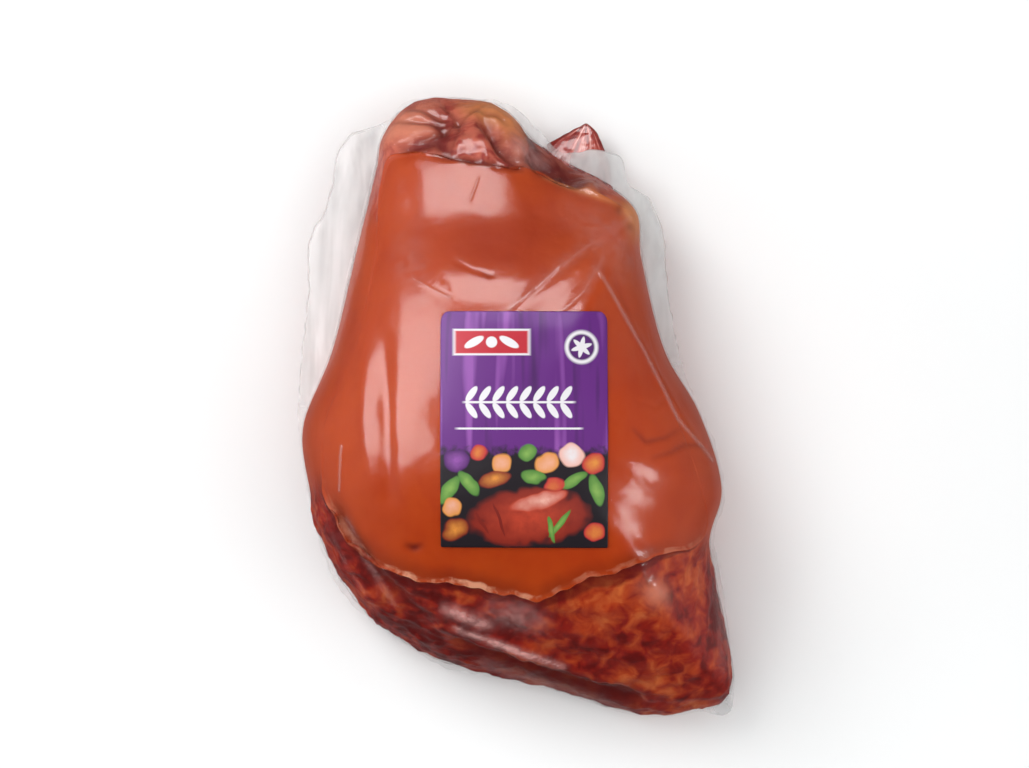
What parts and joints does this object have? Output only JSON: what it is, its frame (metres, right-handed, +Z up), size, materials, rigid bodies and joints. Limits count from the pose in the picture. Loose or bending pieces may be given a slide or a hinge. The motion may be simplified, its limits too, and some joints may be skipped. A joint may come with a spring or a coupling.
{
  "type": "smoked ham",
  "caption": "Smoked ham with its rind, vacuum packed in clear film that clings to the meat, with a loose film margin and a stuck-on paper label; lies flat on its back.",
  "frame": {"origin": "under the middle of the part's bounding box, on the table face", "axes": "+Y towards the narrow hock end, +Z up through the labelled side, +X to the right seen from above"},
  "size_m": [0.183, 0.2618, 0.1196],
  "materials": {
    "film_wrapped_ham": "glossy clear film tight over orange-brown smoked rind and dark red cut meat",
    "label_paper": "glossy printed sticker",
    "clear_film": "clear flexible film, whitish where it folds"
  },
  "bodies": {
    "root": {"vacuum_bag": "film_wrapped_ham", "label": "label_paper"}
  },
  "joints": []
}
